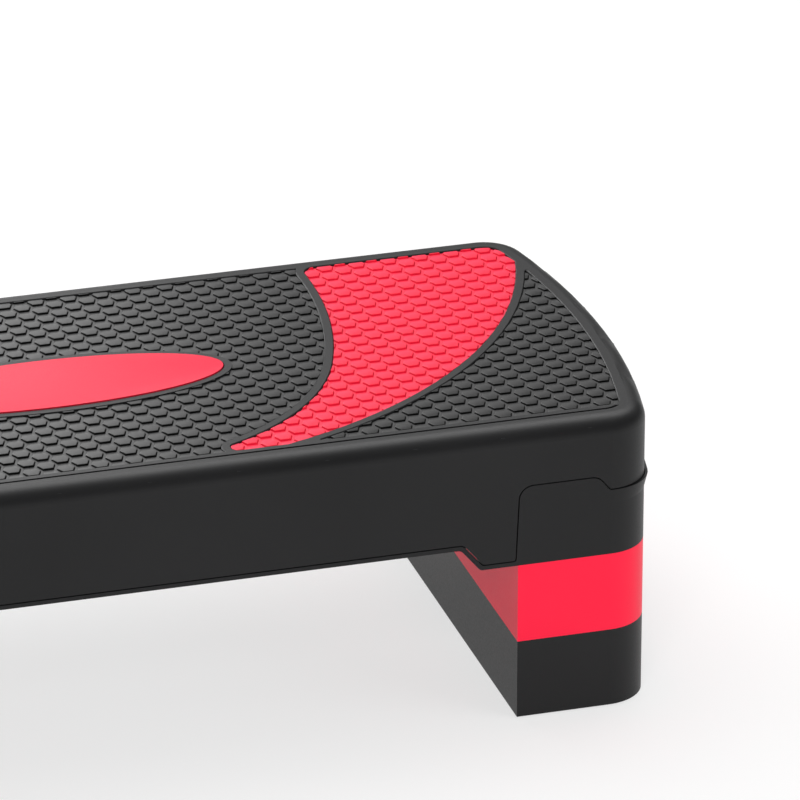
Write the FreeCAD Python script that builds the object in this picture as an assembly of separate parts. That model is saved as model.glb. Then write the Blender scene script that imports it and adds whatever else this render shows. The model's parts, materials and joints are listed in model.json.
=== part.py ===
import FreeCAD
import Part
import math
import os

# Aerobic step platform, in millimetres: a hollow deck with inlaid treads, on two stacks of risers.
# X runs along the deck, the front is -Y and Z is up. The origin is on the floor under the deck's middle.

os.makedirs("parts", exist_ok=True)

# Overall form
deck_length = 750.0
deck_width = 306.0
deck_height = 95.0
corner_radius = 30.0
end_bow_radius = 620.0
top_edge_radius = 11.0

# Risers: one stacking step each, two steps under each end
riser_height = 54.0
riser_length = 105.4
riser_wall = 3.0
riser_top_plate = 3.5

# Deck shell
shell_wall = 3.0
shell_plate = 7.0
shell_rib_clearance = 1.0
shell_rib_pitch = 62.0

# Base frame under the shell, with a lip along the long sides and a deep block at each end
frame_wall = 6.0
frame_floor = 3.5
frame_inner_wall = 3.0
frame_rib_drop = 5.0
flange_width = 18.0
flange_lift = 2.6
flange_thickness = 2.8
lip_rise = 15.6
lip_height = 2.8
tab_rise = 54.8
end_seam_drop = 9.8
upstand_height = 1.2
seam_gap = 0.8
fit_gap = 0.3

# Steps and tabs of the parting line, measured along X from the riser's inner face
step_start = 38.1
step_run = 13.0
step_radius = 4.0
tab_offset = 1.0
tab_lean = 2.3
tab_length = 52.0
tab_fall = 8.0
tab_radius = 9.0
tab_end_radius = 9.0
tab_root_radius = 2.0

# The frame's end walls flare outwards at their upper edge
flare_reach = 2.4
flare_height = 9.0
flare_wall = 1.6

# Recessed treads in the deck's top
rim_width = 17.0
front_groove_width = 2.0
front_groove_depth = 1.2
front_strip = 4.6
recess_depth = 3.2
recess_chamfer = 0.5
tread_thickness = 1.8
tread_gap = 0.2
tread_corner_radius = 0.8
crescent_tip_radius = 4.5
crescent_corner_radius = 9.0
border_rib = 6.0
crescent_tip_x = 88.4
crescent_tip_height = 9.0
crescent_foot = 35.6
crescent_outer_radius = 338.0
crescent_outer_centre_x = 21.0
crescent_front_radius = 179.0
crescent_front_centre_x = 17.0
crescent_back_radius = 388.0
crescent_blend_angle = 20.0
oval_length = 236.0
oval_width = 74.6
oval_border = 5.0
oval_thickness = 2.8

# Spigots on the risers and the sockets that they stand in
spigot_height = 6.0
spigot_radius = 5.0
spigot_inner_gap = 30.0
spigot_end_gap = 31.4
spigot_middle_gap = 44.0
spigot_pad_gap = 21.0
socket_clearance = 0.6
socket_wall = 2.4

# Rubber pads under every level
pad_radius = 9.0
pad_thickness = 3.5
pad_proud = 1.0
pad_fit = 0.15
pad_boss_wall = 3.0
pad_recess_clearance = 0.8
pad_inner_inset = 16.0
pad_end_inset = 36.0
pad_side_inset = 41.0

# Stiffening ribs of the risers and of the frame's end blocks
rib_thickness = 2.4
riser_rib_pitch = 61.0
riser_rib_lift = 2.0

# Screws that hold the frame to the shell
screw_radius = 1.9
screw_length = 16.0
screw_head_radius = 3.6
screw_head_height = 2.4
screw_pilot_clearance = 0.05
screw_hole_clearance = 0.3
screw_boss_radius = 4.5
rail_screw_end_gap = 51.5
rail_screw_count = 4
end_screw_inset = 42.4
end_screw_side_inset = 28.0
end_middle_screw_inset = 30.0
end_boss_radius = 6.5
end_boss_height = 8.0
counterbore_depth = 3.4
counterbore_clearance = 0.6

# Heights and places that follow
half_length = deck_length / 2
half_width = deck_width / 2
riser_inner_x = half_length - riser_length
lower_z = pad_proud
upper_z = lower_z + riser_height
deck_z = upper_z + riser_height
top_z = deck_z + deck_height
plate_z = top_z - shell_plate
recess_z = top_z - recess_depth
lip_z = deck_z + lip_rise
lip_top_z = lip_z + lip_height
flange_z = lip_z + flange_lift
flange_top_z = flange_z + flange_thickness
tab_z = deck_z + tab_rise
end_seam_z = tab_z - end_seam_drop
upstand_z = tab_z + upstand_height
upstand_inset = shell_wall + fit_gap
step_top_x = riser_inner_x - step_start
step_bottom_x = step_top_x + step_run
end_block_x = step_bottom_x + lip_height
pad_y = half_width - pad_side_inset
tread_front_y = rim_width + front_strip - half_width
beyond = half_length + deck_width

# Centres of the corner and end arcs in plan, shared by every inset of the outline
bow_x = half_length - end_bow_radius
corner_y = half_width - corner_radius
corner_x = bow_x + math.sqrt((end_bow_radius - corner_radius) ** 2 - corner_y**2)
corner_turn = math.atan2(corner_y, corner_x - bow_x)


def vec(x, y, z=0.0):
    return FreeCAD.Vector(x, y, z)


def arc(start, middle, end):
    return Part.Arc(start, middle, end).toShape()


def line(start, end):
    return Part.LineSegment(start, end).toShape()


def plan_wire(inset=0.0):
    """The platform's outline on the floor, moved in by an inset."""
    radius = corner_radius - inset
    side_y = half_width - inset
    end = vec(half_length - inset, 0)
    half_turn = (math.pi / 2 + corner_turn) / 2

    def corner(sign_x, sign_y, angle):
        x = corner_x + radius * math.cos(angle)
        y = corner_y + radius * math.sin(angle)
        return vec(sign_x * x, sign_y * y)

    edges = []
    for sign in (1, -1):
        side = sign * side_y
        edges.append(line(vec(-sign * corner_x, -side), vec(sign * corner_x, -side)))
        tangent = corner(sign, -sign, corner_turn)
        edges.append(arc(vec(sign * corner_x, -side), corner(sign, -sign, half_turn), tangent))
        far = corner(sign, sign, corner_turn)
        edges.append(arc(tangent, end * sign, far))
        edges.append(arc(far, corner(sign, sign, half_turn), vec(sign * corner_x, side)))
    return Part.Wire(edges)


def plan_face(inset=0.0):
    return Part.Face(plan_wire(inset))


def prism(face, low, high):
    """A face on the floor, raised to one height and extruded to another."""
    base = face.copy()
    base.translate(vec(0, 0, low))
    return base.extrude(vec(0, 0, high - low))


def ring(outer_inset, inner_inset, low, high):
    """A wall that follows the outline between two insets."""
    return prism(plan_face(outer_inset).cut(plan_face(inner_inset)), low, high)


def block(low_x, high_x, low_y, high_y, low_z, high_z):
    corner = vec(low_x, low_y, low_z)
    return Part.makeBox(high_x - low_x, high_y - low_y, high_z - low_z, corner)


def cylinder(x, y, low, high, radius):
    return Part.makeCylinder(radius, high - low, vec(x, y, low))


def opposite(shape):
    """The mirrored piece at the other end of the deck."""
    return shape.mirror(vec(0, 0), vec(1, 0))


def both_ends(shapes):
    return shapes + [opposite(shape) for shape in shapes]


def rib_places(span, pitch):
    """Places of the ribs that divide a span into equal cells no wider than the pitch."""
    cells = math.ceil(span / pitch)
    return [span * (i / cells - 0.5) for i in range(1, cells)]


def save(name, shapes):
    shape = shapes[0] if len(shapes) == 1 else Part.makeCompound(shapes)
    shape.exportStep(f"parts/{name}.step")


def rounded_face(corners):
    """A face in the XZ plane from corners (x, z, radius), taken in order."""
    edges = []
    trimmed = []
    for i, (x, z, radius) in enumerate(corners):
        here = vec(x, 0, z)
        back = (vec(corners[i - 1][0], 0, corners[i - 1][1]) - here).normalize()
        after = corners[(i + 1) % len(corners)]
        ahead = (vec(after[0], 0, after[1]) - here).normalize()
        half = back.getAngle(ahead) / 2
        reach = radius / math.tan(half)
        middle = here + (back + ahead) / (2 * math.cos(half)) * (radius / math.sin(half) - radius)
        trimmed.append((here + back * reach, middle, here + ahead * reach, radius))
    for i, (entry, middle, leave, radius) in enumerate(trimmed):
        if radius:
            edges.append(arc(entry, middle, leave))
        edges.append(line(leave, trimmed[(i + 1) % len(trimmed)][0]))
    return Part.Face(Part.Wire(edges))


def through_depth(face):
    """A face in the XZ plane, extruded through the whole depth of the deck."""
    base = face.copy()
    base.translate(vec(0, -beyond, 0))
    return base.extrude(vec(0, 2 * beyond, 0))


def parting_line():
    """The frame's upper edge on the right half: lip, step down, tab and end seam."""
    slant = math.hypot(step_run, lip_rise)
    shift = lip_height * (slant - step_run) / lip_rise
    tab_start_x = riser_inner_x - tab_offset
    tab_left_x = tab_start_x + tab_lean
    tab_right_x = tab_left_x + tab_length
    return [
        (step_top_x + shift, lip_top_z, step_radius),
        (step_bottom_x + shift, deck_z + lip_height, step_radius),
        (tab_start_x, deck_z + lip_height, tab_root_radius),
        (tab_left_x, tab_z, tab_radius),
        (tab_right_x, tab_z, tab_end_radius),
        (tab_right_x + tab_fall, end_seam_z, tab_root_radius),
        (beyond, end_seam_z, 0),
    ]


def mirrored(corners):
    return [(-x, z, radius) for x, z, radius in reversed(corners)]


def frame_region():
    """What lies between the frame's underside and the parting line."""
    under = [(step_top_x, lip_z, step_radius), (step_bottom_x, deck_z, step_radius), (beyond, deck_z, 0)]
    upper = parting_line()
    upper_back = list(reversed(mirrored(upper) + upper))
    return through_depth(rounded_face(mirrored(under) + under + upper_back))


def below_shell_region():
    """What lies below the shell's lower edge, one seam gap above the parting line."""
    upper = parting_line()
    under = [(beyond, 0, 0), (-beyond, 0, 0)]
    face = rounded_face(mirrored(upper) + upper + under)
    return through_depth(face.makeOffset2D(seam_gap))


def pad_places():
    """Pad centres under the right end."""
    inner_x = riser_inner_x + pad_inner_inset
    outer_x = half_length - pad_end_inset
    return [(x, y) for x in (inner_x, outer_x) for y in (-pad_y, pad_y)]


def pads(low):
    base = low - pad_proud
    return [cylinder(x, y, base, base + pad_thickness, pad_radius) for x, y in pad_places()]


def pad_pockets(low):
    depth = pad_thickness - pad_proud
    return [cylinder(x, y, low, low + depth, pad_radius + pad_fit) for x, y in pad_places()]


def pad_recesses(high):
    radius = pad_radius + pad_recess_clearance
    return [cylinder(x, y, high - pad_proud, high, radius) for x, y in pad_places()]


def pad_bosses(low, high):
    return [cylinder(x, y, low, high, pad_radius + pad_boss_wall) for x, y in pad_places()]


def spigots(grow, low, high):
    """The two spigots of the right end, or larger blocks round them."""
    low_x = riser_inner_x + spigot_inner_gap - grow
    high_x = half_length - spigot_end_gap + grow
    low_y = spigot_middle_gap / 2 - grow
    high_y = pad_y - pad_radius - spigot_pad_gap + grow
    blocks = []
    for near_y, far_y in ((low_y, high_y), (-high_y, -low_y)):
        solid = block(low_x, high_x, near_y, far_y, low, high)
        upright = [edge for edge in solid.Edges if edge.BoundBox.ZLength > (high - low) / 2]
        blocks.append(solid.makeFillet(spigot_radius + grow, upright))
    return blocks


def riser_prism(inset, inner_x, low, high):
    """The right end of the outline, cut off straight at its inner face."""
    keep = block(inner_x, beyond, -beyond, beyond, low, high)
    return prism(plan_face(inset), low, high).common(keep)


def end_ribs(inset, inner_x, low, high):
    """Ribs that divide the right end into cells, between its walls."""
    room = riser_prism(inset, inner_x, low, high)
    half_rib = rib_thickness / 2
    middle_x = (riser_inner_x + half_length) / 2
    ribs = [block(middle_x - half_rib, middle_x + half_rib, -half_width, half_width, low, high)]
    for y in rib_places(deck_width, riser_rib_pitch):
        ribs.append(block(inner_x, half_length, y - half_rib, y + half_rib, low, high))
    return [rib.common(room) for rib in ribs]


def riser(low):
    """A hollow riser for the right end, open below, with spigots on top."""
    high = low + riser_height
    roof = high - riser_top_plate
    rooted = high - riser_top_plate / 2
    inner_x = riser_inner_x + riser_wall
    body = riser_prism(0, riser_inner_x, low, high).cut(riser_prism(riser_wall, inner_x, low, roof))
    inside = end_ribs(riser_wall / 2, inner_x - riser_wall / 2, low + riser_rib_lift, rooted)
    inside += spigots(socket_clearance + socket_wall, low, rooted) + pad_bosses(low, rooted)
    body = body.fuse(inside).cut(spigots(socket_clearance, low, roof))
    body = body.fuse(spigots(0, rooted, high + spigot_height))
    return body.cut(pad_pockets(low) + pad_recesses(high)).removeSplitter()


def rail_screw_places():
    """Screws through the middle of the flange, evenly spaced along each rail."""
    y = half_width - (frame_wall + flange_width) / 2
    reach = step_top_x - rail_screw_end_gap
    places = [reach * (2 * i / (rail_screw_count - 1) - 1) for i in range(rail_screw_count)]
    return [(x, side * y) for x in places for side in (-1, 1)]


def end_screw_places():
    """Screws through the right end block: one at the middle and one near each long side."""
    side_y = half_width - end_screw_side_inset
    side_x = riser_inner_x + end_screw_inset
    return [(half_length - end_middle_screw_inset, 0), (side_x, -side_y), (side_x, side_y)]


def screw(x, y, seat):
    """A pan-head screw driven upwards, with its head below the seat."""
    head = cylinder(x, y, seat - screw_head_height, seat, screw_head_radius)
    shank = cylinder(x, y, seat - screw_head_height / 2, seat + screw_length, screw_radius)
    return head.fuse(shank).removeSplitter()


def screw_post(x, y, low):
    """A boss under the shell's plate, with the pilot hole that takes a screw."""
    return cylinder(x, y, low, plate_z + (shell_plate - recess_depth) / 2, screw_boss_radius)


def pilot_hole(x, y, low):
    return cylinder(x, y, low, low + screw_length, screw_radius + screw_pilot_clearance)


def flared_edge():
    """The right end wall's upper edge, which stands out from the shell round the end."""
    low = end_seam_z - flare_height

    def sleeve(inset):
        lower = plan_wire(inset)
        lower.translate(vec(0, 0, low))
        upper = plan_wire(inset)
        upper.translate(vec(flare_reach, 0, end_seam_z))
        return Part.makeLoft([lower, upper], True, True)

    last = parting_line()[-2][0]
    keep = block(last, beyond, -beyond, beyond, low, end_seam_z)
    return sleeve(0).cut(sleeve(flare_wall)).common(keep)


def end_block():
    """Floor, inner wall, ribs, sockets and bosses of the frame's right end."""
    tube = riser_prism(upstand_inset, end_block_x, deck_z, upstand_z)
    tube = tube.cut(riser_prism(frame_wall, end_block_x + frame_inner_wall, deck_z + frame_floor, upstand_z))
    pieces = [tube] + end_ribs(upstand_inset, end_block_x, deck_z, upstand_z - frame_rib_drop)
    pieces += spigots(socket_clearance + socket_wall, deck_z, deck_z + spigot_height + frame_floor)
    pieces += pad_bosses(deck_z, deck_z + pad_thickness + frame_floor)
    boss_z = deck_z + end_boss_height
    pieces += [cylinder(x, y, deck_z, boss_z, end_boss_radius) for x, y in end_screw_places()]
    return pieces


def end_block_cuts():
    """Sockets, pad pockets and screw holes of the frame's right end, with room for the shell's posts."""
    cuts = spigots(socket_clearance, deck_z, deck_z + spigot_height + socket_clearance) + pad_pockets(deck_z)
    bore = screw_head_radius + counterbore_clearance
    post_room = screw_boss_radius + screw_hole_clearance
    for x, y in end_screw_places():
        cuts.append(cylinder(x, y, deck_z, upstand_z, screw_radius + screw_hole_clearance))
        cuts.append(cylinder(x, y, deck_z, deck_z + counterbore_depth, bore))
        cuts.append(cylinder(x, y, deck_z + end_boss_height, upstand_z, post_room))
    return cuts


def base_frame():
    """One moulding: a lipped rail along each long side and a deep block at each end."""
    body = ring(0, frame_wall, deck_z, tab_z).common(frame_region())
    between = block(-end_block_x, end_block_x, -beyond, beyond, lip_z, upstand_z)
    flange = ring(upstand_inset, flange_width, flange_z, flange_top_z).common(between)
    upstand = ring(upstand_inset, frame_wall, lip_z, upstand_z)
    body = body.fuse([flange, upstand] + both_ends(end_block() + [flared_edge()]))
    hole = screw_radius + screw_hole_clearance
    cuts = [cylinder(x, y, flange_z, flange_top_z, hole) for x, y in rail_screw_places()]
    return body.cut(cuts + both_ends(end_block_cuts())).removeSplitter()


def shell_envelope():
    body = prism(plan_face(), deck_z, top_z)
    edges = [e for e in body.Edges if abs(e.BoundBox.ZMin - top_z) < 0.01]
    return body.makeFillet(top_edge_radius, edges)


def shell_ribs():
    """A grid of ribs under the plate, between the skirts."""
    low = upstand_z + shell_rib_clearance
    high = plate_z + (shell_plate - recess_depth) / 2
    half_rib = rib_thickness / 2
    room = prism(plan_face(shell_wall / 2), low, high)
    ribs = []
    for x in rib_places(deck_length, shell_rib_pitch):
        ribs.append(block(x - half_rib, x + half_rib, -half_width, half_width, low, high))
    for y in rib_places(deck_width, shell_rib_pitch):
        ribs.append(block(-half_length, half_length, y - half_rib, y + half_rib, low, high))
    return [rib.common(room) for rib in ribs]


def front_groove():
    """The groove between the rim and the strip along the front, which runs out round the corners."""
    trench = ring(rim_width - front_groove_width, rim_width, top_z - front_groove_depth, top_z)
    last_y = tread_front_y - front_strip / 2
    return trench.common(block(-beyond, beyond, -beyond, last_y, deck_z, top_z))


def recess_flare(name, face):
    """The chamfer round a recess's upper edge, as a block to cut away."""
    foot_z = top_z - recess_chamfer
    high = top_z + recess_chamfer
    outline = Part.Face(face.Faces[0].OuterWire)
    flare = prism(outline.makeOffset2D(recess_chamfer), foot_z, high)
    foot = [edge for edge in flare.Edges if edge.BoundBox.ZMax < top_z - recess_chamfer / 2]
    flare = flare.makeChamfer(recess_chamfer, foot)
    if name == "tread_center":
        flare = flare.cut(prism(oval_face(oval_border), foot_z, high))
    return flare


def deck_shell():
    """The deck's hollow upper shell: skirt, plate with recesses, ribs and screw posts."""
    body = shell_envelope().cut([front_groove(), prism(plan_face(shell_wall), deck_z, plate_z)])
    body = body.cut(below_shell_region())
    post_z = deck_z + end_boss_height
    seats = [(x, y, flange_top_z) for x, y in rail_screw_places()]
    seats += [(side * x, y, post_z) for x, y in end_screw_places() for side in (-1, 1)]
    body = body.fuse(shell_ribs() + [screw_post(x, y, low) for x, y, low in seats])
    plans = tread_plans()
    recesses = [prism(face, recess_z, top_z) for face in plans.values()]
    recesses += [recess_flare(name, face) for name, face in plans.items() if name != "oval_inlay"]
    pilots = [pilot_hole(x, y, low) for x, y, low in seats]
    return body.cut(recesses + pilots).removeSplitter()


def disc(x, y, radius):
    return Part.Face(Part.Wire(Part.makeCircle(radius, vec(x, y))))


def plan_block(low_x, high_x, low_y, high_y):
    return Part.makePlane(high_x - low_x, high_y - low_y, vec(low_x, low_y))


def oval_face(border=0.0):
    major = oval_length / 2 + border
    minor = oval_width / 2 + border
    return Part.Face(Part.Wire(Part.Ellipse(vec(0, 0), major, minor).toShape()))


def crescent_inside():
    """What lies on the centre's side of the crescent's inner border: two arcs that run into each other."""
    angle = math.radians(crescent_blend_angle)
    run = crescent_tip_x - crescent_front_centre_x
    front_y = tread_front_y + crescent_tip_height + math.sqrt(crescent_front_radius**2 - run**2)
    reach = crescent_back_radius - crescent_front_radius
    back_x = crescent_front_centre_x - reach * math.cos(angle)
    back_y = front_y + reach * math.sin(angle)
    join_y = front_y - crescent_front_radius * math.sin(angle)
    front = disc(crescent_front_centre_x, front_y, crescent_front_radius)
    front = front.common(plan_block(-beyond, beyond, -beyond, join_y))
    back = disc(back_x, back_y, crescent_back_radius)
    back = back.common(plan_block(-beyond, beyond, join_y, beyond))
    return [front, back]


def crescent_face(mat):
    """The right crescent: broad at the back, and drawn out to a point at the front."""
    run = crescent_tip_x + crescent_foot - crescent_outer_centre_x
    outer_y = tread_front_y + math.sqrt(crescent_outer_radius**2 - run**2)
    face = mat.common(disc(crescent_outer_centre_x, outer_y, crescent_outer_radius))
    face = face.common(plan_block(crescent_tip_x, beyond, -beyond, beyond))
    return face.cut(crescent_inside()).Faces[0]


def softened(face, radius, gap=0.0):
    """A face with its corners rounded, drawn in all round by a gap."""
    core = face.makeOffset2D(-radius)
    return core.makeOffset2D(radius - gap).Faces[0]


def round_back_corner(face, radius):
    """A face with a wider round at the corner that lies furthest to the back and the left."""
    height = vec(0, 0, radius)
    solid = face.extrude(height)
    upright = [edge for edge in solid.Edges if edge.BoundBox.ZLength > radius / 2]
    corner = max(upright, key=lambda edge: edge.BoundBox.YMax - edge.BoundBox.XMax)
    faces = solid.makeFillet(radius, [corner]).Faces
    top = max(faces, key=lambda part: part.BoundBox.ZMin)
    return top.translated(-height)


def tread_plans(gap=0.0):
    """Plan of every tread's recess, or of the treads themselves with a gap round them."""
    mat = plan_face(rim_width).common(plan_block(-beyond, beyond, tread_front_y, beyond))
    crescent = round_back_corner(crescent_face(mat), crescent_corner_radius)
    border = softened(crescent, crescent_tip_radius).makeOffset2D(border_rib)
    plain = sorted(mat.cut(both_ends([border])).Faces, key=lambda face: face.CenterOfMass.x)
    plans = {
        "tread_center": softened(plain[1], tread_corner_radius, gap).cut(oval_face(oval_border + gap)),
        "tread_end_right": softened(plain[2], tread_corner_radius, gap),
        "tread_crescent_right": softened(crescent, crescent_tip_radius, gap),
        "oval_inlay": oval_face(-gap),
    }
    for piece in ("tread_end", "tread_crescent"):
        plans[f"{piece}_left"] = opposite(plans[f"{piece}_right"])
    return plans


def inlay(name, face):
    """A slab that lies in its recess."""
    thickness = oval_thickness if name == "oval_inlay" else tread_thickness
    return prism(face, recess_z, recess_z + thickness)


def build():
    save("deck_shell", [deck_shell()])
    save("base_frame", [base_frame()])
    for name, face in tread_plans(tread_gap).items():
        save(name, [inlay(name, face)])
    save("rail_screws", [screw(x, y, flange_z) for x, y in rail_screw_places()])
    save("end_screws", both_ends([screw(x, y, deck_z + counterbore_depth) for x, y in end_screw_places()]))
    for level, low in (("lower", lower_z), ("upper", upper_z), ("frame", deck_z)):
        save(f"{level}_pads_right", pads(low))
        save(f"{level}_pads_left", [opposite(pad) for pad in pads(low)])
    for level, low in (("lower", lower_z), ("upper", upper_z)):
        right = riser(low)
        save(f"{level}_riser_right", [right])
        save(f"{level}_riser_left", [opposite(right)])


build()
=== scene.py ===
# %% [markdown]
# # An aerobic step platform
# The platform is a long hollow deck on two stacks of risers. Its solid pieces come ready from the
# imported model, in metres, with the floor at z = 0 and the front at -Y. This lesson adds what the eye
# sees first: the hexagon texture of the treads, the oval, the screws and pads underneath, the finishes
# of the plastics, and the studio round it all.

# %% Load the frame
import json
import math

import bpy
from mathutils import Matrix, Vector


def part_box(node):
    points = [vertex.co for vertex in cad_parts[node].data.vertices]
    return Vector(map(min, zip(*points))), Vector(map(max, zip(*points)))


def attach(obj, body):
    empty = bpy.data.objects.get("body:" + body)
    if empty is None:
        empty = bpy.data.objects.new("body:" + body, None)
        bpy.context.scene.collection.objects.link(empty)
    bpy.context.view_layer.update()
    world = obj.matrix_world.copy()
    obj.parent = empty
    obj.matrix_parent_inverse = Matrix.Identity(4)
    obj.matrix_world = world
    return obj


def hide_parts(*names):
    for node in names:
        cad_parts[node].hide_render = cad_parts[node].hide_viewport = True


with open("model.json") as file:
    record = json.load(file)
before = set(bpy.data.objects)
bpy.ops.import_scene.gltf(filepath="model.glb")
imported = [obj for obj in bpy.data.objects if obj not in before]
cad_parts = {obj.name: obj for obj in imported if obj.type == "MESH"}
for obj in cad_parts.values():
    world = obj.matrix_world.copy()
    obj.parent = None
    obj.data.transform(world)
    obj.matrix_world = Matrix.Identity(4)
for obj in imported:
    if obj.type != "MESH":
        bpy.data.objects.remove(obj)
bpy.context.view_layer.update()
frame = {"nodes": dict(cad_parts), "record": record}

nodes = frame["nodes"]

# %% [markdown]
# ## Working habits
# Operators act on whatever is selected, so every step starts by clearing the selection. Faces and edges
# are then picked in code, by where they are or which way they look, just as one would click on them.
# A few small helpers keep that short. They clear the selection, pick parts of a mesh, apply a modifier
# as soon as it is set up, put a piece's place into its mesh, and turn its faces outwards.

# %% Small helpers
SAME_PLACE = 1e-6


def start_fresh():
    """Leave edit mode and clear the selection."""
    if bpy.context.object and bpy.context.object.mode != "OBJECT":
        bpy.ops.object.mode_set(mode="OBJECT")
    bpy.ops.object.select_all(action="DESELECT")


def work_on(piece):
    """Make one piece the only selected and active object."""
    start_fresh()
    piece.select_set(True)
    bpy.context.view_layer.objects.active = piece


def pick(piece, kind, wanted):
    """In edit mode, select the vertices, edges or faces that a test accepts."""
    bpy.ops.mesh.select_mode(type=kind)
    bpy.ops.mesh.select_all(action="DESELECT")
    bpy.ops.object.mode_set(mode="OBJECT")
    parts = {"VERT": piece.data.vertices, "EDGE": piece.data.edges, "FACE": piece.data.polygons}[kind]
    for part in parts:
        part.select = wanted(part)
    bpy.ops.object.mode_set(mode="EDIT")


def apply_modifier(piece, kind, **settings):
    """Add a modifier, set it up and apply it."""
    work_on(piece)
    modifier = piece.modifiers.new(kind.title(), kind)
    for key, value in settings.items():
        setattr(modifier, key, value)
    bpy.ops.object.modifier_apply(modifier=modifier.name)


def settle(piece):
    """Put a piece's place, turn and size into its mesh, so that its object sits at the origin."""
    work_on(piece)
    bpy.ops.object.transform_apply(location=True, rotation=True, scale=True)


def outward(piece):
    """Merge doubles and turn every face outwards."""
    work_on(piece)
    bpy.ops.object.mode_set(mode="EDIT")
    bpy.ops.mesh.select_all(action="SELECT")
    bpy.ops.mesh.remove_doubles(threshold=SAME_PLACE)
    bpy.ops.mesh.normals_make_consistent(inside=False)
    bpy.ops.object.mode_set(mode="OBJECT")


# %% [markdown]
# ## Finishes
# Real moulded plastic is never one flat colour. It has a fine grain from the mould, a slow drift of
# tone, and a gloss that varies a little from place to place. One builder makes every finish here from
# those three layers, all on Object coordinates, so that the grain stays fixed to the piece. The deep
# tone and the light tone are the ends of the drift. A painted picture could give the same, but nodes stay
# sharp at any distance and need no map.

# %% A builder for moulded finishes
NOISE_LOW = 0.3
NOISE_HIGH = 0.7
GRAIN_STRENGTH = 0.35


def moulded_finish(name, deep, light, gloss, specular, grain, height, drift=7.0):
    """A plastic or rubber finish: drifting colour, varying gloss and a fine mould grain."""
    finish = bpy.data.materials.new(name)
    finish.use_nodes = True
    tree = finish.node_tree
    shader = tree.nodes["Principled BSDF"]
    shader.inputs["Specular IOR Level"].default_value = specular
    place = tree.nodes.new("ShaderNodeTexCoord")

    slow = tree.nodes.new("ShaderNodeTexNoise")
    slow.inputs["Scale"].default_value = drift
    slow.inputs["Detail"].default_value = 3.0
    tone = tree.nodes.new("ShaderNodeValToRGB")
    tone.color_ramp.elements[0].position = NOISE_LOW
    tone.color_ramp.elements[0].color = (*deep, 1)
    tone.color_ramp.elements[1].position = NOISE_HIGH
    tone.color_ramp.elements[1].color = (*light, 1)
    tree.links.new(place.outputs["Object"], slow.inputs["Vector"])
    tree.links.new(slow.outputs["Fac"], tone.inputs["Fac"])
    tree.links.new(tone.outputs["Color"], shader.inputs["Base Color"])

    fine = tree.nodes.new("ShaderNodeTexNoise")
    fine.inputs["Scale"].default_value = grain
    fine.inputs["Detail"].default_value = 2.0
    sheen = tree.nodes.new("ShaderNodeMapRange")
    sheen.inputs["From Min"].default_value = NOISE_LOW
    sheen.inputs["From Max"].default_value = NOISE_HIGH
    sheen.inputs["To Min"].default_value = gloss[0]
    sheen.inputs["To Max"].default_value = gloss[1]
    bump = tree.nodes.new("ShaderNodeBump")
    bump.inputs["Strength"].default_value = GRAIN_STRENGTH
    bump.inputs["Distance"].default_value = height
    tree.links.new(place.outputs["Object"], fine.inputs["Vector"])
    tree.links.new(fine.outputs["Fac"], sheen.inputs["Value"])
    tree.links.new(sheen.outputs["Result"], shader.inputs["Roughness"])
    tree.links.new(fine.outputs["Fac"], bump.inputs["Height"])
    tree.links.new(bump.outputs["Normal"], shader.inputs["Normal"])
    return finish


# %% [markdown]
# The deck, frame and lower risers share a satin black plastic. The red risers are the same plastic in
# another colour. The ground of the treads is a lighter compound with a finer grain, the oval is a smooth
# red, and the pads are dull rubber. Only the numbers differ, so each finish is one call of the builder.

# %% Mix the finishes


def grey(tone):
    return (tone, tone, tone)


black_plastic = moulded_finish(
    "black_plastic", (0.0090, 0.0090, 0.0094), (0.0115, 0.0115, 0.0120), (0.40, 0.48), 0.23, 900, 0.00005)
red_plastic = moulded_finish(
    "red_plastic", (0.90, 0.0078, 0.044), (0.95, 0.0103, 0.050), (0.40, 0.48), 0.23, 900, 0.00004)
black_ground = moulded_finish(
    "black_tread_ground", grey(0.036), grey(0.046), (0.32, 0.40), 0.24, 1400, 0.00006)
red_ground = moulded_finish(
    "red_tread_ground", (0.93, 0.026, 0.074), (0.96, 0.031, 0.082), (0.38, 0.46), 0.18, 1400, 0.00006)
oval_red = moulded_finish(
    "oval_red", (0.91, 0.018, 0.060), (0.94, 0.022, 0.067), (0.46, 0.54), 0.20, 1200, 0.00003)
pad_rubber = moulded_finish(
    "pad_rubber", grey(0.014), grey(0.022), (0.70, 0.85), 0.3, 700, 0.0001)
finishes = (black_plastic, red_plastic, black_ground, red_ground, oval_red, pad_rubber)
print("finishes:", [finish.name for finish in finishes])

# %% [markdown]
# A tile's finish also fades, as painted shade: its raised front corner is painted dark, and its back keeps
# the tone of the ground. The fade runs slantwise over the tile's own map, which each tile carries, so it
# follows every tile. The steep little walls under the front edges hold a deeper tone, also painted shade.

# %% Mix the tiles' finishes
# How far the tiles' painted shade leans across the tile, and where it starts and ends.
TILE_SHADE_LEAN = -0.45
TILE_SHADE_START = -0.35
TILE_SHADE_END = 0.70


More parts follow.
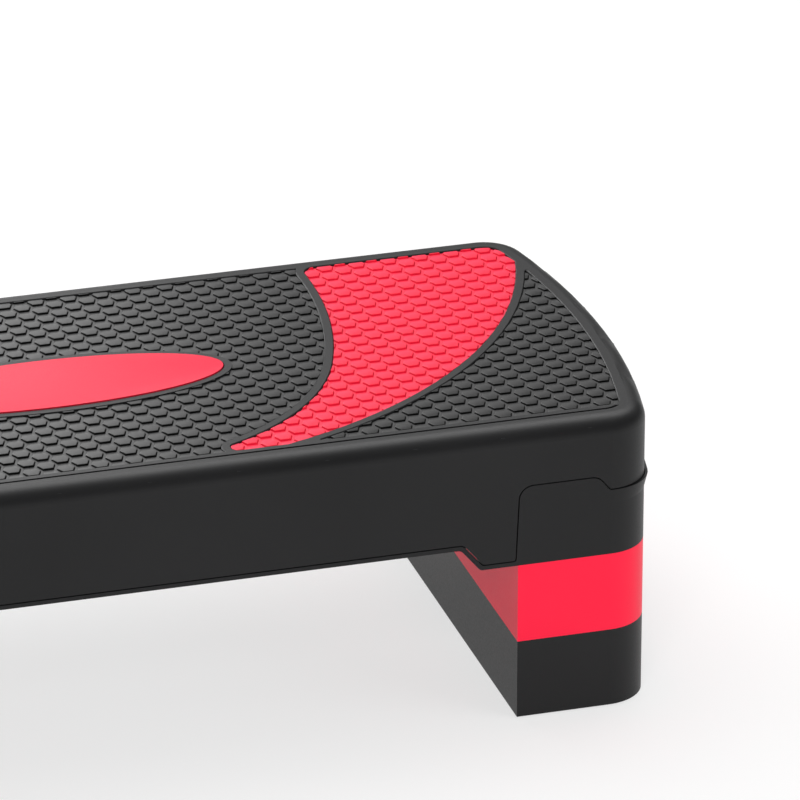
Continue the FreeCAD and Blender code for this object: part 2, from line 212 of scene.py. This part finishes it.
def tile_painted_shade_finish(name, front, ground, gloss, specular):
    """A tread finish whose painted shade fades from a dark front tone to the ground's tone along each
    tile's map.
    """
    finish = moulded_finish(name, front[0], front[1], gloss, specular, 1400, 0.00006)
    tree = finish.node_tree
    shader = tree.nodes["Principled BSDF"]
    tone = shader.inputs["Base Color"].links[0].from_socket
    tile_map = tree.nodes.new("ShaderNodeUVMap")
    ways = tree.nodes.new("ShaderNodeSeparateXYZ")
    fade = tree.nodes.new("ShaderNodeMapRange")
    fade.interpolation_type = "SMOOTHSTEP"
    fade.inputs["From Min"].default_value = TILE_SHADE_START
    fade.inputs["From Max"].default_value = TILE_SHADE_END
    mix = tree.nodes.new("ShaderNodeMix")
    mix.data_type = "RGBA"
    mix.inputs["B"].default_value = (*ground, 1)
    lean = tree.nodes.new("ShaderNodeMath")
    lean.operation = "MULTIPLY_ADD"
    lean.inputs[1].default_value = TILE_SHADE_LEAN
    tree.links.new(tile_map.outputs["UV"], ways.inputs["Vector"])
    tree.links.new(ways.outputs["X"], lean.inputs[0])
    tree.links.new(ways.outputs["Y"], lean.inputs[2])
    tree.links.new(lean.outputs["Value"], fade.inputs["Value"])
    tree.links.new(fade.outputs["Result"], mix.inputs["Factor"])
    tree.links.new(tone, mix.inputs["A"])
    tree.links.new(mix.outputs["Result"], shader.inputs["Base Color"])
    return finish


# The dark front tones of the tiles are painted shade, fading to the ground's tone at the back.
black_painted_shade_tile = tile_painted_shade_finish(
    "black_tread_painted_shade_tile", (grey(0.004), grey(0.007)), grey(0.062), (0.32, 0.40), 0.24)
red_painted_shade_tile = tile_painted_shade_finish(
    "red_tread_painted_shade_tile", ((0.86, 0.008, 0.042), (0.92, 0.012, 0.050)), (0.98, 0.046, 0.104),
    (0.38, 0.46), 0.18)
# The walls of the tiles' steps get deep tones as painted shade.
black_painted_shade_step = moulded_finish(
    "black_tread_painted_shade_step", grey(0.0010), grey(0.0018), (0.50, 0.60), 0.08, 1400, 0.00006)
red_painted_shade_step = moulded_finish(
    "red_tread_painted_shade_step", (0.66, 0.006, 0.028), (0.74, 0.009, 0.034), (0.50, 0.60), 0.08, 1400, 0.00006)
print("tile finishes:", black_painted_shade_tile.name, red_painted_shade_tile.name)

# %% [markdown]
# Screws are zinc-plated steel: a metal, brushed a little by the driver, with a cool tone that drifts.

# %% A finish for the screws
screw_steel = moulded_finish(
    "screw_steel", (0.42, 0.43, 0.44), (0.56, 0.57, 0.58), (0.28, 0.42), 0.5, 2500, 0.00002)
screw_steel.node_tree.nodes["Principled BSDF"].inputs["Metallic"].default_value = 1.0
print("metal finish:", screw_steel.name)

# %% [markdown]
# The solid pieces that already have their true shape keep it, and only take their finish. Modelling them
# again would add nothing but the chance of a wrong size.

# %% Dress the solid pieces
black_pieces = ("deck_shell", "base_frame", "lower_riser_right", "lower_riser_left")
wears = {name: black_plastic for name in black_pieces}
wears["tread_center"] = black_ground
for side in ("right", "left"):
    wears[f"upper_riser_{side}"] = red_plastic
    wears[f"tread_crescent_{side}"] = red_ground
    wears[f"tread_end_{side}"] = black_ground
for name, finish in wears.items():
    for slot in nodes[name].material_slots:
        slot.material = finish
print("dressed:", len(wears), "solid pieces")

# %% [markdown]
# ## The treads
# The treads are moulded with rows of hexagon tiles. Each tile is a low scoop: its front edge and the
# two slanted edges beside it stand up as a step that grips the sole, and its top runs down to the back
# until it is nearly level with the ground. The step's walls lean out at the foot, as moulded walls do,
# so that the tread comes out of its mould. One tile is modelled from a hexagon, extruded, cut into three
# strips that are set to their heights, and bevelled. Arrays then lay it in columns, with every other
# column moved on by half a tile, and the field is trimmed to each tread's outline. A bump map would be
# lighter, but it shows no steps from the side.

# %% Set the tile's sizes
TILE_COLUMN = 0.0110
TILE_ROW = 0.01435
TILE_HALF_WIDTH = 0.0054
TILE_HALF_DEPTH = 0.0058
TILE_EDGE_HALF = 0.0031
TILE_STRIP = 0.0019
TILE_HEIGHTS = {-TILE_HALF_DEPTH: 0.00125, -TILE_STRIP: 0.00100, 0: 0.00088, TILE_STRIP: 0.00075,
                TILE_HALF_DEPTH: 0.00025}
TILE_ROOT = 0.0005
TILE_FOOT = 0.0009
TILE_BEVEL = 0.00018
TILE_CREASE = math.radians(14)
TILE_BEND = math.radians(0.5)
ROW_REACH = 0.0004
STEEP = 0.65
FRONTWARD = -0.1
LATTICE = Vector((0.0039, 0.00455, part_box("tread_center")[1].z))
print("tiles sit on z =", round(LATTICE.z, 5))

# %% Model one tile


def at_row(vertex, row):
    return abs(vertex.co.y - LATTICE.y - row) < ROW_REACH


def on_top(vertex):
    return vertex.co.z > LATTICE.z - TILE_ROOT / 2


def draw_up(rise):
    """Extrude what is selected straight up, or down if the rise is negative."""
    bpy.ops.mesh.extrude_region_move(TRANSFORM_OT_translate={"value": (0, 0, rise)})


def lean_out(tile):
    """Move the feet of the front wall and of the two slanted walls beside it out by the same amount."""
    slant = Vector((TILE_HALF_WIDTH - TILE_EDGE_HALF, TILE_HALF_DEPTH)).normalized()
    front_half = TILE_EDGE_HALF + TILE_FOOT * (1 - slant.x) / slant.y
    corner_half = TILE_HALF_WIDTH + TILE_FOOT / slant.y
    pick(tile, "VERT", lambda v: at_row(v, -TILE_HALF_DEPTH) and not on_top(v))
    bpy.ops.transform.resize(value=(front_half / TILE_EDGE_HALF, 1, 1), center_override=LATTICE)
    bpy.ops.transform.translate(value=(0, -TILE_FOOT, 0))
    pick(tile, "VERT", lambda v: at_row(v, 0) and not on_top(v))
    bpy.ops.transform.resize(value=(corner_half / TILE_HALF_WIDTH, 1, 1), center_override=LATTICE)


def model_tile():
    """One scoop-shaped hexagon tile, with its middle at the lattice's first place."""
    start_fresh()
    corner_to_side = (0, 0, math.radians(90))
    bpy.ops.mesh.primitive_circle_add(
        vertices=6, radius=TILE_HALF_WIDTH, fill_type="NGON", location=LATTICE, rotation=corner_to_side)
    tile = bpy.context.object
    settle(tile)
    bpy.ops.object.mode_set(mode="EDIT")
    flat_reach = TILE_HALF_WIDTH * math.sqrt(0.75)
    widen = 2 * TILE_EDGE_HALF / TILE_HALF_WIDTH
    for row in (-flat_reach, flat_reach):
        pick(tile, "VERT", lambda v: at_row(v, row))
        bpy.ops.transform.resize(value=(widen, 1, 1), center_override=LATTICE)
        bpy.ops.transform.translate(value=(0, math.copysign(TILE_HALF_DEPTH, row) - row, 0))
    bpy.ops.mesh.select_all(action="SELECT")
    draw_up(-TILE_ROOT)
    lean_out(tile)
    for row in (-TILE_STRIP, TILE_STRIP):
        bpy.ops.mesh.select_all(action="SELECT")
        bpy.ops.mesh.bisect(plane_co=LATTICE + Vector((0, row, 0)), plane_no=(0, 1, 0))
    for row, height in TILE_HEIGHTS.items():
        pick(tile, "VERT", lambda v: at_row(v, row) and on_top(v))
        bpy.ops.transform.translate(value=(0, 0, height))
    bpy.ops.mesh.select_all(action="SELECT")
    bpy.ops.mesh.normals_make_consistent(inside=False)
    bpy.ops.object.mode_set(mode="OBJECT")
    return tile


def soften_tile(tile):
    """Bevel the rim of the tile's top, but not the lines between its strips, and split bent faces."""
    points = tile.data.vertices

    def on_rim(edge):
        ends = [points[i] for i in edge.vertices]
        across = any(all(at_row(end, row) for end in ends) for row in (-TILE_STRIP, TILE_STRIP))
        return not across and all(on_top(end) for end in ends)

    work_on(tile)
    bpy.ops.object.mode_set(mode="EDIT")
    pick(tile, "EDGE", on_rim)
    bpy.ops.mesh.bevel(offset=TILE_BEVEL, segments=1, affect="EDGES")
    bpy.ops.mesh.select_all(action="SELECT")
    bpy.ops.mesh.vert_connect_nonplanar(angle_limit=TILE_BEND)
    bpy.ops.object.mode_set(mode="OBJECT")


def map_tile(tile):
    """Give the tile a map of its plan, and the walls of its step the second finish, which is painted
    shade.
    """
    tile_map = tile.data.uv_layers.active
    for corner in tile.data.loops:
        place = tile.data.vertices[corner.vertex_index].co - LATTICE
        tile_map.data[corner.index].uv = (
            place.x / (2 * TILE_HALF_WIDTH) + 0.5, place.y / (2 * TILE_HALF_DEPTH) + 0.5)
    # Steep faces that look to the front take the step's painted shade.
    for face in tile.data.polygons:
        faces_front = face.normal.y < FRONTWARD
        face.material_index = 1 if faces_front and abs(face.normal.z) < STEEP else 0


tile = model_tile()
soften_tile(tile)
map_tile(tile)
tile_z = [v.co.z - LATTICE.z for v in tile.data.vertices]
print("tile:", len(tile.data.polygons), "faces, from", round(min(tile_z) * 1000, 2),
      "to", round(max(tile_z) * 1000, 2), "mm")

# %% [markdown]
# A field of tiles covers the box round one tread. The trimming tool is a copy of the tread's own solid,
# drawn up through the tiles, so that the tiles end exactly where the tread does.

# %% Lay and trim the fields
CUTTER_UP = 0.004
CUTTER_TOP_REACH = 0.0005


def copy_of(piece, name):
    """A copy with its own mesh, linked to the scene."""
    twin = piece.copy()
    twin.data = piece.data.copy()
    twin.name = name
    bpy.context.scene.collection.objects.link(twin)
    return twin


def tile_columns(name, low, high, odd):
    """Every other column of tiles over a box."""
    first = math.floor((low.x - LATTICE.x) / TILE_COLUMN) // 2 * 2 + odd
    last = math.ceil((high.x - LATTICE.x) / TILE_COLUMN) + 1
    bottom = math.floor((low.y - LATTICE.y) / TILE_ROW) - 1
    top = math.ceil((high.y - LATTICE.y) / TILE_ROW) + 1
    columns = copy_of(tile, name)
    columns.location = (first * TILE_COLUMN, (bottom + odd / 2) * TILE_ROW, 0)
    settle(columns)
    steps = (((2 * TILE_COLUMN, 0, 0), (last - first) // 2 + 1), ((0, TILE_ROW, 0), top - bottom + 1))
    for step, count in steps:
        apply_modifier(columns, "ARRAY", use_relative_offset=False, use_constant_offset=True,
                       constant_offset_displace=step, count=count)
    return columns


def trimming_tool(name):
    """The tread's own outline as a tall closed block."""
    tool = copy_of(nodes[name], "trimming_tool")
    tool.parent = None
    for key in list(tool.keys()):
        del tool[key]
    outward(tool)
    bpy.ops.object.mode_set(mode="EDIT")
    pick(tool, "VERT", lambda v: v.co.z > LATTICE.z - CUTTER_TOP_REACH)
    bpy.ops.transform.translate(value=(0, 0, CUTTER_UP))
    bpy.ops.object.mode_set(mode="OBJECT")
    return tool


def tile_field(name, top_finish, step_shade_finish):
    """The tiles of one tread, trimmed to its outline."""
    low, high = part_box(name)
    field = tile_columns(f"{name}_tiles", low, high, 0)
    others = tile_columns("other_columns", low, high, 1)
    work_on(field)
    others.select_set(True)
    bpy.ops.object.join()
    tool = trimming_tool(name)
    tool.data.materials.clear()
    apply_modifier(field, "BOOLEAN", operation="INTERSECT", solver="EXACT", object=tool)
    bpy.data.objects.remove(tool)
    work_on(field)
    bpy.ops.object.shade_smooth_by_angle(angle=TILE_CREASE)
    for slot, finish in zip(field.material_slots, (top_finish, step_shade_finish)):
        slot.material = finish
    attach(field, "deck")
    print(field.name, "faces:", len(field.data.polygons))


for finish in (black_painted_shade_tile, black_painted_shade_step):
    tile.data.materials.append(finish)
tile_field("tread_center", black_painted_shade_tile, black_painted_shade_step)
for side in ("right", "left"):
    tile_field(f"tread_crescent_{side}", red_painted_shade_tile, red_painted_shade_step)
    tile_field(f"tread_end_{side}", black_painted_shade_tile, black_painted_shade_step)
bpy.data.objects.remove(tile)

# %% [markdown]
# ## The oval
# The oval in the middle of the deck is a bare moulded badge. It is a circle drawn out to an oval, raised
# until it stands a little proud of the ring round it, and softened along its upper edge. Its low wall gets
# a deeper red as painted shade, so the wall's faces get a finish of their own.

# %% Model the oval
OVAL_SOFT_EDGE = 0.00025
OVAL_PROUD = 0.0012
OVAL_INSET = 0.0005
OVAL_CREASE = math.radians(40)
# The wall's deeper red is painted shade, set below the bright red of the badge's top.
oval_painted_shade_wall = moulded_finish(
    "oval_painted_shade_wall", (0.36, 0.006, 0.018), (0.42, 0.008, 0.024), (0.50, 0.60), 0.08, 1200, 0.00003)


def model_oval():
    low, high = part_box("oval_inlay")
    half = (high - low) / 2
    start_fresh()
    bpy.ops.mesh.primitive_circle_add(vertices=128, radius=1, fill_type="NGON", location=(0, 0, low.z))
    oval = bpy.context.object
    oval.name = "oval_badge"
    oval.scale = (half.x - OVAL_INSET, half.y - OVAL_INSET, 1)
    settle(oval)
    bpy.ops.object.mode_set(mode="EDIT")
    bpy.ops.mesh.select_all(action="SELECT")
    draw_up(high.z - low.z + OVAL_PROUD)
    bpy.ops.mesh.select_all(action="SELECT")
    bpy.ops.mesh.normals_make_consistent(inside=False)
    pick(oval, "EDGE", lambda e: all(oval.data.vertices[i].co.z > high.z for i in e.vertices))
    bpy.ops.mesh.bevel(offset=OVAL_SOFT_EDGE, segments=2, affect="EDGES")
    bpy.ops.object.mode_set(mode="OBJECT")
    bpy.ops.object.shade_smooth_by_angle(angle=OVAL_CREASE)
    for finish in (oval_red, oval_painted_shade_wall):
        oval.data.materials.append(finish)
    # Steep faces, which make the badge's low wall, take the finish with painted shade.
    for face in oval.data.polygons:
        face.material_index = 1 if abs(face.normal.z) < STEEP else 0
    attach(oval, "deck")
    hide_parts("oval_inlay")
    return oval


print("oval faces:", len(model_oval().data.polygons))

# %% [markdown]
# ## Places of small pieces
# Screws and pads come in groups, one node for each group. Their places are read from the solids: a copy
# of the group is merged, taken apart into its loose pieces, and each piece gives its box.

# %% Find the places of small pieces


def loose_boxes(name):
    """The boxes of a node's separate solids."""
    group = copy_of(nodes[name], "loose_group")
    group.parent = None
    outward(group)
    bpy.ops.object.mode_set(mode="EDIT")
    bpy.ops.mesh.select_all(action="SELECT")
    bpy.ops.mesh.separate(type="LOOSE")
    bpy.ops.object.mode_set(mode="OBJECT")
    boxes = []
    for solid in list(bpy.context.selected_objects):
        corners = [v.co for v in solid.data.vertices]
        boxes.append((Vector([min(c[i] for c in corners) for i in range(3)]),
                      Vector([max(c[i] for c in corners) for i in range(3)])))
        bpy.data.objects.remove(solid)
    return boxes


def set_out(master, name, node, finish):
    """Copy a piece that was modelled at the origin to the foot of each solid of a node, as one piece."""
    copies = []
    for low, high in loose_boxes(node):
        twin = copy_of(master, name)
        twin.location = ((low.x + high.x) / 2, (low.y + high.y) / 2, low.z)
        settle(twin)
        copies.append(twin)
    work_on(copies[0])
    for twin in copies:
        twin.select_set(True)
    bpy.ops.object.join()
    piece = bpy.context.object
    piece.data.materials.clear()
    piece.data.materials.append(finish)
    body = next(b for b, names in frame["record"]["behaviour"]["bodies"].items() if node in names)
    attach(piece, body)
    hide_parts(node)
    print(name, "copies:", len(copies), "faces:", len(piece.data.polygons))


# %% [markdown]
# ## Screws
# The frame is held to the deck by pan-head screws that are driven in from below, so their heads look
# down. One screw is a disc, extruded into a head and drawn in to a shank. The head's lower rim is
# bevelled into a dome, and a cross cutter takes out the recess for the driver.

# %% Model one screw
screw_low, screw_high = loose_boxes("rail_screws")[0]
HEAD_RADIUS = (screw_high.x - screw_low.x) / 2
SCREW_LENGTH = screw_high.z - screw_low.z
HEAD_HEIGHT = 0.0024
SHANK_RADIUS = 0.0019
RECESS_LENGTH = 0.0042
RECESS_WIDTH = 0.0009
RECESS_DEPTH = 0.0013
RECESS_TAPER = (0.55, 0.8, 1)
HEAD_DOME = 0.0011
SHANK_TIP = 0.3
FOOT_REACH = 0.0001
LEVEL = 0.99
SMALL_CREASE = math.radians(30)


def at_foot(piece, edge):
    return all(piece.data.vertices[i].co.z < FOOT_REACH for i in edge.vertices)


def model_screw():
    start_fresh()
    bpy.ops.mesh.primitive_circle_add(vertices=32, radius=HEAD_RADIUS, fill_type="NGON")
    screw = bpy.context.object
    bpy.ops.object.mode_set(mode="EDIT")
    bpy.ops.mesh.select_all(action="SELECT")
    draw_up(HEAD_HEIGHT)
    bpy.ops.mesh.inset(thickness=HEAD_RADIUS - SHANK_RADIUS)
    draw_up(SCREW_LENGTH - HEAD_HEIGHT - SHANK_RADIUS)
    draw_up(SHANK_RADIUS)
    bpy.ops.transform.resize(value=(SHANK_TIP, SHANK_TIP, 1), center_override=(0, 0, SCREW_LENGTH))
    bpy.ops.mesh.select_all(action="SELECT")
    bpy.ops.mesh.normals_make_consistent(inside=False)
    pick(screw, "EDGE", lambda e: at_foot(screw, e))
    bpy.ops.mesh.bevel(offset=HEAD_DOME, segments=4, affect="EDGES")
    bpy.ops.object.mode_set(mode="OBJECT")
    return screw


def cut_cross_recess(screw):
    """Cut the driver's cross into the head, narrower at its floor."""
    start_fresh()
    bpy.ops.mesh.primitive_cube_add(size=1, scale=(RECESS_LENGTH, RECESS_WIDTH, 2 * RECESS_DEPTH))
    cutter = bpy.context.object
    settle(cutter)
    bpy.ops.object.mode_set(mode="EDIT")
    pick(cutter, "FACE", lambda f: f.normal.z > LEVEL)
    bpy.ops.transform.resize(value=RECESS_TAPER, center_override=(0, 0, RECESS_DEPTH))
    bpy.ops.object.mode_set(mode="OBJECT")
    for turn in (0, math.radians(90)):
        cutter.rotation_euler = (0, 0, turn)
        bpy.context.view_layer.update()
        apply_modifier(screw, "BOOLEAN", operation="DIFFERENCE", solver="EXACT", object=cutter)
    bpy.data.objects.remove(cutter)
    outward(screw)
    bpy.ops.object.shade_smooth_by_angle(angle=SMALL_CREASE)


screw = model_screw()
cut_cross_recess(screw)
print("screw faces:", len(screw.data.polygons))

# %% Drive in all the screws
set_out(screw, "rail_screws_crossed", "rail_screws", screw_steel)
set_out(screw, "end_screws_crossed", "end_screws", screw_steel)
bpy.data.objects.remove(screw)

# %% [markdown]
# ## Rubber pads
# Each riser and the frame stand on rubber pads that are pressed into round pockets. Their undersides
# have rings, which grip the floor. One pad is a disc that is extruded, bevelled at its foot, and given
# its rings by insets that go in and out by turns.

# %% Model one pad
pad_low, pad_high = loose_boxes("lower_pads_right")[0]
PAD_RADIUS = (pad_high.x - pad_low.x) / 2
PAD_HEIGHT = pad_high.z - pad_low.z
RING_WIDTH = 0.0010
RING_WALL = 0.0003
RING_DEPTH = 0.0005
PAD_SOFT_EDGE = 0.0006


def model_pad():
    start_fresh()
    bpy.ops.mesh.primitive_circle_add(vertices=48, radius=PAD_RADIUS, fill_type="NGON")
    pad = bpy.context.object
    bpy.ops.object.mode_set(mode="EDIT")
    bpy.ops.mesh.select_all(action="SELECT")
    draw_up(PAD_HEIGHT)
    bpy.ops.mesh.select_all(action="SELECT")
    bpy.ops.mesh.normals_make_consistent(inside=False)
    pick(pad, "EDGE", lambda e: at_foot(pad, e))
    bpy.ops.mesh.bevel(offset=PAD_SOFT_EDGE, segments=2, affect="EDGES")
    pick(pad, "FACE", lambda f: f.normal.z < -LEVEL)
    for depth in (-RING_DEPTH, RING_DEPTH, -RING_DEPTH, RING_DEPTH):
        bpy.ops.mesh.inset(thickness=RING_WIDTH)
        bpy.ops.mesh.inset(thickness=RING_WALL, depth=depth)
    bpy.ops.object.mode_set(mode="OBJECT")
    bpy.ops.object.shade_smooth_by_angle(angle=SMALL_CREASE)
    return pad


pad = model_pad()
print("pad faces:", len(pad.data.polygons), "foot at", round(min(v.co.z for v in pad.data.vertices), 5))

# %% Press in all the pads
for level in ("lower", "upper", "frame"):
    for side in ("right", "left"):
        set_out(pad, f"{level}_pads_{side}_ringed", f"{level}_pads_{side}", pad_rubber)
bpy.data.objects.remove(pad)

# %% [markdown]
# ## The studio
# The photograph shows the platform on plain white. A wide pale floor gives that ground and keeps the
# shadow. It is laid first, and then come the lamps, the sky and the camera.

# %% Lay the floor
FLOOR_WIDTH = 60
start_fresh()
bpy.ops.mesh.primitive_grid_add(x_subdivisions=4, y_subdivisions=4, size=FLOOR_WIDTH, location=(0, 0, 0))
floor = bpy.context.object
floor.name = "studio_floor"

# %% [markdown]
# The floor is painted almost white. Where the camera or a reflection looks at it, a good half of its tone
# is plain white paper, so the ground stays as pale as in the photograph and the shadow is light.

# %% Paint the floor
PAPER_SHARE = 0.6
floor_paint = bpy.data.materials.new("floor_paint")
floor_paint.use_nodes = True
paint = floor_paint.node_tree
base = paint.nodes["Principled BSDF"]
base.inputs["Base Color"].default_value = (0.97, 0.97, 0.97, 1)
base.inputs["Roughness"].default_value = 0.9
base.inputs["Specular IOR Level"].default_value = 0.0
paper = paint.nodes.new("ShaderNodeEmission")
paper.inputs["Strength"].default_value = 1.0
looks = paint.nodes.new("ShaderNodeLightPath")
seen = looks.outputs["Is Camera Ray"]
for ray in ("Is Glossy Ray", "Is Transmission Ray"):
    either = paint.nodes.new("ShaderNodeMath")
    either.operation = "MAXIMUM"
    paint.links.new(seen, either.inputs[0])
    paint.links.new(looks.outputs[ray], either.inputs[1])
    seen = either.outputs["Value"]
share = paint.nodes.new("ShaderNodeMath")
share.operation = "MULTIPLY"
share.inputs[1].default_value = PAPER_SHARE
paint.links.new(seen, share.inputs[0])
pale = paint.nodes.new("ShaderNodeMixShader")
paint.links.new(share.outputs["Value"], pale.inputs["Fac"])
paint.links.new(base.outputs["BSDF"], pale.inputs[1])
paint.links.new(paper.outputs["Emission"], pale.inputs[2])
paint.links.new(pale.outputs["Shader"], paint.nodes["Material Output"].inputs["Surface"])
floor.data.materials.append(floor_paint)
print("floor:", floor.dimensions.x, "m wide")

# %% [markdown]
# Two broad soft lamps stand in front, high up, and give the faces their even tone. They are left out of
# reflections, because satin plastic would mirror them as pale patches. Two panels behind the deck do the
# opposite: they are low and weak, and the deck's top and the edges of its recesses mirror them. A wide
# strip overhead is seen by reflections alone, and lights the rounded rim.

# %% Hang the lamps


def soft_lamp(name, place, target, width, height, power):
    """A broad lamp that stays out of the camera's sight."""
    start_fresh()
    bpy.ops.object.light_add(type="AREA", location=place)
    lamp = bpy.context.object
    lamp.name = name
    lamp.data.shape = "RECTANGLE"
    lamp.data.size = width
    lamp.data.size_y = height
    lamp.data.energy = power
    lamp.visible_camera = False
    aim = Vector(target) - Vector(place)
    lamp.rotation_euler = aim.to_track_quat("-Z", "Y").to_euler()
    return lamp


key = soft_lamp("front_lamp", (-1.3, -4.6, 2.4), (0.1, 0, 0.15), 3.2, 3.2, 150)
fill = soft_lamp("right_lamp", (4.2, -3.0, 2.2), (0.1, 0, 0.15), 3.2, 3.2, 85)
for lamp in (key, fill):
    lamp.visible_glossy = False
panel = soft_lamp("back_panel", (-0.28, 0.95, 0.64), (0.0, 0, 0.2), 1.35, 0.75, 5.0)
left = soft_lamp("back_left_panel", (-1.1, 2.8, 1.05), (0.1, 0, 0.2), 1.3, 0.8, 18)
strip = soft_lamp("edge_strip", (0.6, 1.6, 3.2), (0, 0, 0.2), 4.4, 2.6, 130)
strip.visible_diffuse = False
print("lamp powers:", [lamp.data.energy for lamp in (key, fill, panel, left, strip)])

# %% [markdown]
# The sky's tone depends on direction alone. One ramp runs up the back half, one up the front half, and
# the two are mixed by how far a direction points to the back. It is bright above and behind, where the
# deck's top looks, and dim in front, which draws the dark band along the deck's rounded edge. To the right
# it falls off.

# %% Paint the sky
world = bpy.data.worlds.new("studio_sky")
bpy.context.scene.world = world
world.use_nodes = True
sky = world.node_tree
direction = sky.nodes.new("ShaderNodeTexCoord")
split = sky.nodes.new("ShaderNodeSeparateXYZ")
sky.links.new(direction.outputs["Generated"], split.inputs["Vector"])


def grey_ramp(stops):
    """A ramp of greys over the height of a direction, from the horizon at 0 to straight up at 1."""
    ramp = sky.nodes.new("ShaderNodeValToRGB")
    while len(ramp.color_ramp.elements) < len(stops):
        ramp.color_ramp.elements.new(0.5)
    for element, (height, tone) in zip(ramp.color_ramp.elements, stops):
        element.position = height
        element.color = (*grey(tone), 1)
    sky.links.new(split.outputs["Z"], ramp.inputs["Fac"])
    return ramp


back_sky = grey_ramp([(0.0, 0.20), (0.12, 0.22), (0.30, 0.28), (0.42, 0.40), (0.7, 1.6), (1.0, 2.0)])
front_sky = grey_ramp([(0.0, 0.06), (0.70, 0.10), (0.90, 0.5), (1.0, 1.0)])
backness = sky.nodes.new("ShaderNodeMapRange")
backness.interpolation_type = "SMOOTHSTEP"
backness.inputs["From Min"].default_value = -0.15
backness.inputs["From Max"].default_value = 0.35
sky.links.new(split.outputs["Y"], backness.inputs["Value"])
blend = sky.nodes.new("ShaderNodeMix")
blend.data_type = "RGBA"
sky.links.new(backness.outputs["Result"], blend.inputs["Factor"])
sky.links.new(front_sky.outputs["Color"], blend.inputs["A"])
sky.links.new(back_sky.outputs["Color"], blend.inputs["B"])
falloff = sky.nodes.new("ShaderNodeMapRange")
falloff.interpolation_type = "SMOOTHSTEP"
falloff.inputs["From Min"].default_value = 0.1
falloff.inputs["From Max"].default_value = 0.8
falloff.inputs["To Min"].default_value = 1.05
falloff.inputs["To Max"].default_value = 0.45
sky.links.new(split.outputs["X"], falloff.inputs["Value"])
sky.links.new(blend.outputs["Result"], sky.nodes["Background"].inputs["Color"])
sky.links.new(falloff.outputs["Result"], sky.nodes["Background"].inputs["Strength"])
print("sky nodes:", len(sky.nodes))

# %% [markdown]
# ## The camera
# The camera stands in front, to the left and above, far away with a long lens, so that the deck's long
# edges stay almost parallel, as they are in the photograph.

# %% Place the camera
CAMERA_PLACE = (-0.9396, -3.9556, 2.0296)
LOOKS_DOWN = math.radians(24.34)
TURNED_RIGHT = math.radians(16.56)
start_fresh()
bpy.ops.object.camera_add(
    location=CAMERA_PLACE, rotation=(math.radians(90) - LOOKS_DOWN, 0, -TURNED_RIGHT))
camera = bpy.context.object
camera.name = "studio_camera"
camera.data.sensor_width = 36
camera.data.lens = 312.5
camera.data.clip_end = 100
bpy.context.scene.camera = camera
bpy.context.scene.view_settings.view_transform = "Standard"
print("camera lens:", camera.data.lens, "mm")
